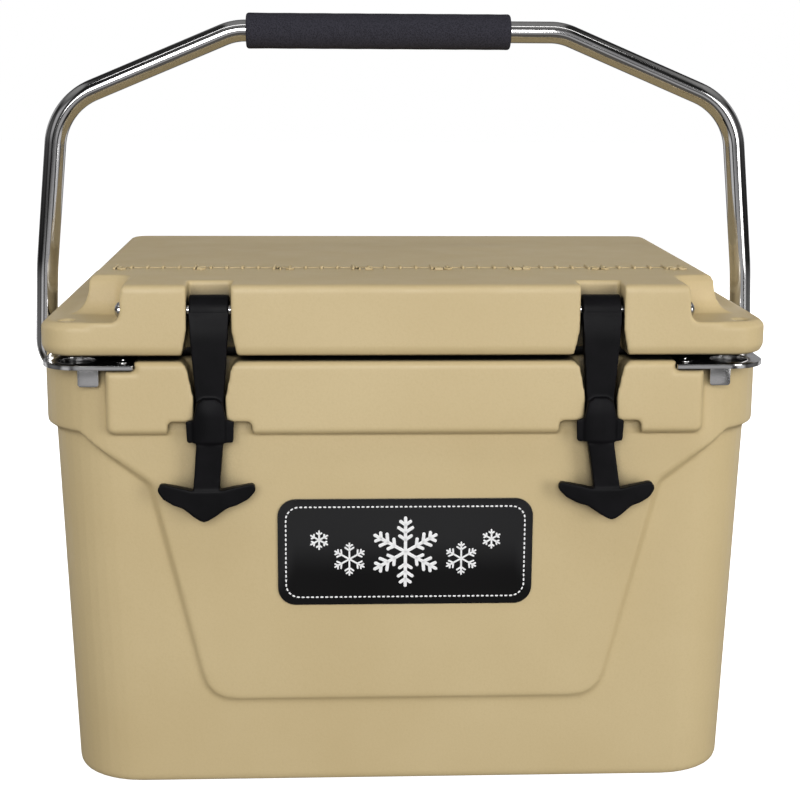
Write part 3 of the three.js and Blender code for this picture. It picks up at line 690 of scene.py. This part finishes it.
def make_label():
    """The glossy label, its stitched border and a plain snowflake motif."""
    plate = slab("label_plate", label_outline(0), -LABEL["thick"], 0, "xz", bevel=0.55, segments=4)
    lean = Matrix.Rotation(math.radians(LABEL["lean"]), 4, "X")
    drop = Matrix.Translation(Vector((0, 0, -LABEL["mid_z"])) * MM)
    place = Matrix.Translation(Vector((0, LABEL["face"], LABEL["mid_z"])) * MM)
    gap = Matrix.Translation(Vector((0, -LABEL["gap"], 0)) * MM)
    plate.data.transform(place @ lean @ gap @ drop)
    dress(plate, "tub", "label", LABEL_GLOSS, "badge_plate")

    middle = (LABEL["low"] + LABEL["high"]) / 2
    u, v, size, branches = BIG_FLAKE
    big = flake(u, middle + v, size, branches)
    small = []
    for side in (-1, 1):
        for u, v, size, branches in SIDE_FLAKES:
            small += flake(side * u, middle + v, size, branches)
    print_work = joined("label_print", [
        strokes("label_stitches", stitches(), STITCH["width"], STITCH["height"], on_label, 6),
        strokes("label_flake", big, 2.3, 0.2, on_label),
        strokes("label_small_flakes", small, 1.25, 0.2, on_label),
    ])
    dress(shade_smooth(print_work, 60), "tub", "label", PRINT)


# --------------------------------------------------------------------- handle
def bail_path():
    """The bail's whole centreline, from the right foot over the top to the left one."""
    right = [(FOOT_X, PIVOT_Z), *BAIL]
    corners = right + [(-corner[0], *corner[1:]) for corner in reversed(right)]
    flat = rounded(corners, 18, closed=False)
    path = [Vector((flat[0].x, 0, flat[0].y))]
    for point in flat[1:]:
        here = Vector((point.x, 0, point.y))
        pieces = max(1, round((here - path[-1]).length / 12))
        last = path[-1]
        path += [last.lerp(here, k / pieces) for k in range(1, pieces + 1)]
    return path


def make_tube():
    """The bent stainless tube, open at both feet."""
    path = bail_path()
    sides = 40
    ring = [(math.cos(a), math.sin(a)) for a in (2 * math.pi * i / sides for i in range(sides))]
    walls = [swept("tube_wall", path, [(u * radius, v * radius) for u, v in ring], (0, 1, 0))
             for radius in (TUBE_RADIUS, TUBE_BORE)]
    rim = [(TUBE_BORE, FOOT_X), (TUBE_RADIUS, FOOT_X)]
    ends = [turned("tube_end", mirrored(rim, side), "x", (0, 0, PIVOT_Z), sides) for side in (-1, 1)]
    tube = joined("bail_tube", walls + ends)
    dress(shade_smooth(tube, 50), "handle", "stainless", TUBE_STEEL, "handle_tube")


def make_grip():
    """The foam sleeve, its surface faintly uneven along its length."""
    low, high, radius, rings = (GRIP[key] for key in ("low", "high", "radius", "rings"))
    inner = TUBE_RADIUS + 0.2
    profile = [(inner, low, 0.8), (radius, low, 2.2)]
    for k in range(1, rings):
        wave = GRIP["dip"] * math.sin(k * 2.1)
        profile.append((radius - GRIP["dip"] + wave * 0.5, low + (high - low) * k / rings))
    profile += [(radius, high, 2.2), (inner, high, 0.8)]
    grip = turned("foam_grip", profile, "x", (0, 0, TOP_Z), 56, closed=True)
    dress(shade_smooth(grip, 60), "handle", "grip_foam", FOAM, "handle_grip")


def make_pivots():
    """The plug in each open end of the tube, and the flanged bush that each foot turns in."""
    at = (0, 0, PIVOT_Z)
    head, stem, face = TUBE_RADIUS - 0.4, TUBE_BORE - 0.7, FOOT_X - 0.3
    cap_shape = [(0, face - 2), (head, face - 2, 0.9), (head, face, 0.3), (stem, face),
                 (stem, FOOT_X + 8, 0.6), (0, FOOT_X + 8)]
    bore, radius, inner = BUSH["bore"], BUSH["radius"], BUSH["inner"]
    flange, face, outer = BUSH["flange"], BUSH["face"], BUSH["outer"]
    bush_shape = [(bore, inner, 0.5), (radius, inner, 0.5), (radius, face), (flange, face, 0.3),
                  (flange, outer, 0.9), (bore, outer, 0.6)]
    for label, side in SIDES:
        cap = turned(f"end_cap_{label}", mirrored(cap_shape, side), "x", at, 40)
        dress(cap, "handle", "black_plastic", NYLON, f"handle_end_cap_{label}")
        bush = turned(f"bush_{label}", mirrored(bush_shape, side), "x", at, 56, closed=True)
        dress(bush, "tub", "black_plastic", NYLON, f"pivot_bush_{label}")


# -------------------------------------------------------------------- latches
def share_of(value, start, run):
    """How far value has come along a run that begins at start, held between 0 and 1."""
    return min(max((value - start) / run, 0), 1)


def latch_lean(z, slant):
    """How far the hanging end has slanted sideways at height z."""
    drop = STRAP["slant_from"] - z
    return slant * drop / STRAP["slant_run"] if drop > 0 else 0.0


def pressed(u, y, z):
    """The depth y of a latch's surface after moulding: a wrapped eye, a domed keeper, a rounded tab."""
    front = share_of(STRAP["front"] - y, 0, STRAP["depth"])
    if EYE["low"] < z < EYE["high"]:
        return max(y, STRAP["front"] + EYE["sink"] * share_of(z, EYE["low"], EYE["run"]) ** 2)
    if KEEPER["low"] < z < KEEPER["high"]:
        dome = KEEPER["crown"] * (u / KEEPER["half"]) ** 2
        fall = KEEPER["wing"] if u > KEEPER["half"] else dome
        return y + front * (fall + KEEPER["sink"] * share_of(z, KEEPER["ease_from"], KEEPER["ease"]) ** 2)
    if z < PULL_TAB["high"]:
        return y + front * PULL_TAB["crown"] * share_of(u, 0, PULL_TAB["half"]) ** 2
    return y + front * STRAP["crown"] * (u / STRAP["half"]) ** 4


def crown_latch(thing, x, slant):
    """Presses the moulded curves into the front of a latch."""
    for vertex in thing.data.vertices:
        y, z = vertex.co.y / MM, vertex.co.z / MM
        u = abs(vertex.co.x / MM - x - latch_lean(z, slant))
        vertex.co.y = pressed(u, y, z) * MM


def make_latch(label):
    """One rubber T-latch: the CAD shape with its edges rounded and its moulded curves."""
    x, slant = LATCHES[label]
    latch = new_object(f"latch_rubber_{label}", cad_shape(f"latch_{label}"))
    modify(latch, "REMESH", mode="VOXEL", voxel_size=0.75 * MM, adaptivity=0.0)
    modify(latch, "SMOOTH", factor=0.5, iterations=3)
    crown_latch(latch, x, slant)
    modify(latch, "SMOOTH", factor=0.5, iterations=6)
    modify(latch, "TRIANGULATE")
    modify(latch, "DECIMATE", ratio=0.45)
    dress(shade_smooth(latch), f"latch_{label}", "black_rubber", RUBBER, f"latch_{label}")


def make_latch_pin(label, side):
    """The stainless pin that a latch hangs on, with its domed head in the corner pocket."""
    inner, radius, seat, head = (LATCH_PIN[key] for key in ("inner", "radius", "seat", "head"))
    shape = [(0, inner), (radius, inner, 0.6), (radius, seat), (head, seat, 0.2), (head, seat + 2.3, 1.6),
             (3.0, seat + 4.0, 2.4), (0, seat + 4.2)]
    pin = turned(f"pin_{label}", mirrored(shape, side), "x", (0, *LATCH_AXIS), 40)
    dress(pin, "lid", "stainless", PLATE_STEEL, f"latch_pin_{label}")


# ----------------------------------------------------------- plates and screws
def make_plate(label, side):
    """A pressed corner plate with its padlock eye and opener tab."""
    inner, outer, front, back = (PLATE[key] for key in ("inner", "outer", "front", "back"))
    corners = [(inner, front, 1.2), (outer, front, 27), (outer, back, 2.5), (228, back, 2.5),
               (206, -127, 12), (inner, -136, 2.5)]
    outline = rounded([(x * side, y, radius) for x, y, radius in corners], 14)
    eye_x, eye_y, eye_radius = PLATE["eye"]
    holes = [circle(eye_x * side, eye_y, eye_radius, 64)]
    holes += [circle(x * side, y, PLATE["screw_hole"], 24) for x, y in PLATE["screws"]]
    top = slab("plate_top", outline, PLATE["low"], PLATE["high"], "xy", holes, 0.8, 4)
    inner, outer, low, high = (OPENER[key] for key in ("inner", "outer", "low", "high"))
    lip = rounded([(inner * side, low, 2), (outer * side, low, 2),
                   (outer * side, high), (inner * side, high)], 5)
    tab = slab("plate_tab", lip, OPENER["front"], OPENER["back"], "xz", bevel=0.8, segments=4)
    plate = joined(f"corner_plate_{label}", [top, tab])
    dress(shade_smooth(plate, 40), "tub", "stainless", PLATE_STEEL, f"lock_plate_{label}")


def make_plate_screws(label, side):
    """The two domed socket screws of a corner plate."""
    low, shank, head, socket = (SCREW[key] for key in ("low", "shank", "head", "socket"))
    seat = PLATE["high"] + 0.3
    shape = [(0, low), (shank, low, 0.6), (shank, seat), (head, seat, 0.15), (head - 0.2, seat + 0.7, 0.8),
             (2.6, seat + 1.5, 1.2), (socket + 0.2, seat + 1.6), (socket, seat + 0.7), (0, seat + 0.7)]
    for (x, y), place in zip(PLATE["screws"], ("front", "back")):
        screw = turned(f"screw_{label}_{place}", shape, "z", (x * side, y, 0), 36)
        dress(screw, "tub", "stainless", PLATE_STEEL, f"lock_plate_screw_{label}_{place}")


def make_hinge_pins():
    """A plain stainless pin with eased ends through the knuckles of each hinge."""
    half, radius = HINGE["half"], HINGE["radius"]
    shape = [(0, -half), (radius, -half, 0.8), (radius, half, 0.8), (0, half)]
    for label, side in SIDES:
        pin = turned(f"hinge_rod_{label}", shape, "x", (side * HINGE["x"], *HINGE["axis"]), 36)
        dress(pin, "tub", "stainless", PLATE_STEEL, f"hinge_pin_{label}")


# ----------------------------------------------------------- drain, seal, ports
def make_outlet():
    """The drain's outlet through the back wall, and the nut that clamps it from inside."""
    bore, tube, flange = OUTLET["bore"], OUTLET["tube"], OUTLET["flange"]
    inner, face, outer = OUTLET["inner"], OUTLET["flange_from"], OUTLET["outer"]
    shape = [(bore, inner, 0.5), (tube, inner, 0.8), (tube, face, 0.3), (flange, face, 0.4),
             (flange, outer, 1.2), (bore, outer, 0.5)]
    fitting = turned("drain_outlet", shape, "y", (DRAIN_X, 0, DRAIN_Z), 64, closed=True)
    dress(fitting, "tub", "black_plastic", NYLON, "drain_fitting")
    radius = NUT["radius"]
    hexagon = [(DRAIN_X + radius * math.cos(a), DRAIN_Z + radius * math.sin(a), 1.5)
               for a in map(math.radians, range(0, 360, 60))]
    opening = circle(DRAIN_X, DRAIN_Z, NUT["bore"])
    nut = slab("drain_clamp_nut", rounded(hexagon, 4), NUT["low"], NUT["high"], "xz", [opening], 0.7)
    dress(nut, "tub", "black_plastic", NYLON, "drain_nut")


def make_stopper():
    """The scalloped drain plug with its ridged stem, and the sealing washer round it."""
    at = (DRAIN_X, 0, DRAIN_Z)
    bore, radius, low, high = (WASHER[key] for key in ("bore", "radius", "low", "high"))
    shape = [(bore, low, 0.6), (radius, low, 0.8), (radius, high, 0.8), (bore, high, 0.6)]
    washer = turned("drain_seal_ring", shape, "y", at, 64, closed=True)
    dress(washer, "drain_seal", "black_rubber", RUBBER, "drain_washer")
    rim = []
    sides = 128
    for step in range(sides):
        angle = 2 * math.pi * step / sides
        radius = KNOB["radius"] + KNOB["wave"] * math.cos(KNOB["lobes"] * angle)
        rim.append(Vector((DRAIN_X + radius * math.cos(angle), DRAIN_Z + radius * math.sin(angle))))
    knob = slab("plug_knob", rim, KNOB["low"], KNOB["high"], "xz", bevel=1.0)
    half, thick = GRASP["half"], GRASP["thick"]
    bar = [(DRAIN_X + u, DRAIN_Z + v, 1.8)
           for u, v in ((-half, -thick), (half, -thick), (half, thick), (-half, thick))]
    grasp = slab("plug_grasp", rounded(bar, 6), GRASP["low"], GRASP["high"], "xz", bevel=0.5)
    root, crest = THREAD["root"], THREAD["crest"]
    thread = [(0, THREAD["tip"])]
    for ridge in range(THREAD["from"], THREAD["to"], THREAD["pitch"]):
        thread += [(root, ridge), (crest, ridge + 1), (crest, ridge + 2), (root, ridge + 3)]
    thread.append((0, THREAD["end"]))
    stem = turned("plug_stem", thread, "y", at, 48)
    plug = joined("drain_stopper", [knob, grasp, stem])
    dress(shade_smooth(plug, 40), "drain_plug", "black_plastic", NYLON, "drain_plug")


def make_gasket():
    """The freezer seal: a half-round bulb under a flat base, in the lid's groove."""
    half, front, back, radius = (SEAL_LINE[key] for key in ("half", "front", "back", "radius"))
    corners = ((half, front), (half, back), (-half, back), (-half, front))
    middle = rounded([(*corner, radius) for corner in corners], 16)
    path = [Vector((p.x, p.y, 0)) for p in middle]
    wide, top = BULB["half"], BULB["top"]
    section = [(wide * math.cos(a), BULB["middle"] - BULB["drop"] * math.sin(a))
               for a in (math.pi * i / 12 for i in range(13))]
    section += [(-wide, top), (-1.2, top), (0, top - 0.5), (1.2, top), (wide, top)]
    seal = swept("freezer_seal", path, section, (0, 0, 1), closed=True)
    dress(shade_smooth(seal, 50), "lid", "seal_rubber", SEAL, "lid_gasket")


def make_port_plugs():
    """The press-in discs that close the foam filling ports, with a moulded ring on each."""
    for body, low in PORT["low"].items():
        radius, high = PORT["radius"], low + PORT["thick"]
        shape = [(0, low + 1.4), (3.2, low + 1.4, 0.3), (3.6, low + 1.9, 0.3), (6.6, low + 1.9, 0.3),
                 (7.0, low + 1.0, 0.4), (radius, low + 1.0, 0.7), (radius, high, 0.4), (0, high)]
        disc = turned(f"{body}_port_disc", shape, "z", (0, PORT["y"], 0), 56)
        dress(disc, body, "tan_shell", TAN, f"{body}_fill_plug")


# -------------------------------------------------------------- studio, camera
def area_light(name, place, size, power, glossy):
    """A soft lamp that faces the chest."""
    lamp = bpy.data.lights.new(name, "AREA")
    lamp.shape = "RECTANGLE"
    lamp.size, lamp.size_y = size
    lamp.energy = power
    thing = bpy.data.objects.new(name, lamp)
    thing.location = place
    thing.rotation_euler = (Vector(AIM) - Vector(place)).to_track_quat("-Z", "Y").to_euler()
    thing.visible_glossy = glossy
    bpy.context.scene.collection.objects.link(thing)


def pale_floor():
    """A flat white floor under the chest; it takes the shadow but doesn't light or mirror in the object."""
    reach = 9000
    corners = [(x, y, -0.5) for x, y in ((-reach, -reach), (reach, -reach), (reach, reach), (-reach, reach))]
    floor = object_from("floor", corners, [(0, 1, 2, 3)])
    look = Look("floor_paper", Roughness=0.95, Specular_IOR_Level=0.0, Emission_Color=(1, 1, 1, 1),
                Emission_Strength=0.9)
    look.finish(look.ramp(look.noise(3, 2), (0.3, (0.79, 0.79, 0.79)), (0.7, (0.81, 0.81, 0.81))))
    floor.data.materials.append(look.material)
    floor.visible_diffuse = False
    floor.visible_glossy = False
    floor.visible_shadow = False


def room():
    """The world: a white backdrop to look at, and a dim room in bright and dark bands for its light."""
    world = bpy.data.worlds.new("studio")
    world.use_nodes = True
    tree = world.node_tree
    way = tree.nodes.new("ShaderNodeSeparateXYZ")
    tree.links.new(tree.nodes.new("ShaderNodeTexCoord").outputs["Generated"], way.inputs[0])
    height = tree.nodes.new("ShaderNodeMapRange")
    height.inputs["From Min"].default_value = -1
    tree.links.new(way.outputs["Z"], height.inputs["Value"])
    aside = tree.nodes.new("ShaderNodeMath")
    aside.operation = "ABSOLUTE"
    tree.links.new(way.outputs["X"], aside.inputs[0])
    blend = tree.nodes.new("ShaderNodeMix")
    blend.data_type = "RGBA"
    blend.blend_type = "MULTIPLY"
    blend.inputs[0].default_value = 1.0
    tree.links.new(colour_ramp(tree, height.outputs["Result"], BANDS), blend.inputs[6])
    tree.links.new(colour_ramp(tree, aside.outputs["Value"], WALLS), blend.inputs[7])
    light = tree.nodes.new("ShaderNodeBackground")
    tree.links.new(blend.outputs[2], light.inputs["Color"])
    backdrop = tree.nodes["Background"]
    backdrop.inputs["Color"].default_value = (1, 1, 1, 1)
    mix = tree.nodes.new("ShaderNodeMixShader")
    tree.links.new(tree.nodes.new("ShaderNodeLightPath").outputs["Is Camera Ray"], mix.inputs["Fac"])
    tree.links.new(light.outputs[0], mix.inputs[1])
    tree.links.new(backdrop.outputs[0], mix.inputs[2])
    tree.links.new(mix.outputs[0], tree.nodes["World Output"].inputs["Surface"])
    bpy.context.scene.world = world


def studio():
    """The floor, the room and the soft lamps, seen without a film curve."""
    pale_floor()
    room()
    for lamp in LAMPS:
        area_light(*lamp)
    bpy.context.scene.view_settings.view_transform = "Standard"


def camera():
    """The viewing angle: slightly left of the middle, a little above the lid."""
    lens = bpy.data.cameras.new("camera")
    lens.lens = CAMERA["lens"]
    lens.sensor_width = 36
    lens.clip_end = 50
    yaw, pitch, roll = (math.radians(CAMERA[key]) for key in ("yaw", "pitch", "roll"))
    forward = Vector((math.sin(yaw) * math.cos(pitch), math.cos(yaw) * math.cos(pitch), -math.sin(pitch)))
    level = forward.cross(Vector((0, 0, 1))).normalized()
    upright = level.cross(forward)
    right = level * math.cos(roll) + upright * math.sin(roll)
    up = right.cross(forward)
    thing = bpy.data.objects.new("camera", lens)
    turn = Matrix((right, up, -forward)).transposed()
    thing.matrix_world = Matrix.Translation(CAMERA["place"]) @ turn.to_4x4()
    bpy.context.scene.collection.objects.link(thing)
    bpy.context.scene.camera = thing


# ---------------------------------------------------------------------- build
make_shells()
make_scale()
make_label()
make_tube()
make_grip()
make_pivots()
for label, side in SIDES:
    make_latch(label)
    make_latch_pin(label, side)
for label, side in SIDES:
    make_plate(label, side)
    make_plate_screws(label, side)
make_hinge_pins()
make_outlet()
make_stopper()
make_gasket()
make_port_plugs()
studio()
camera()
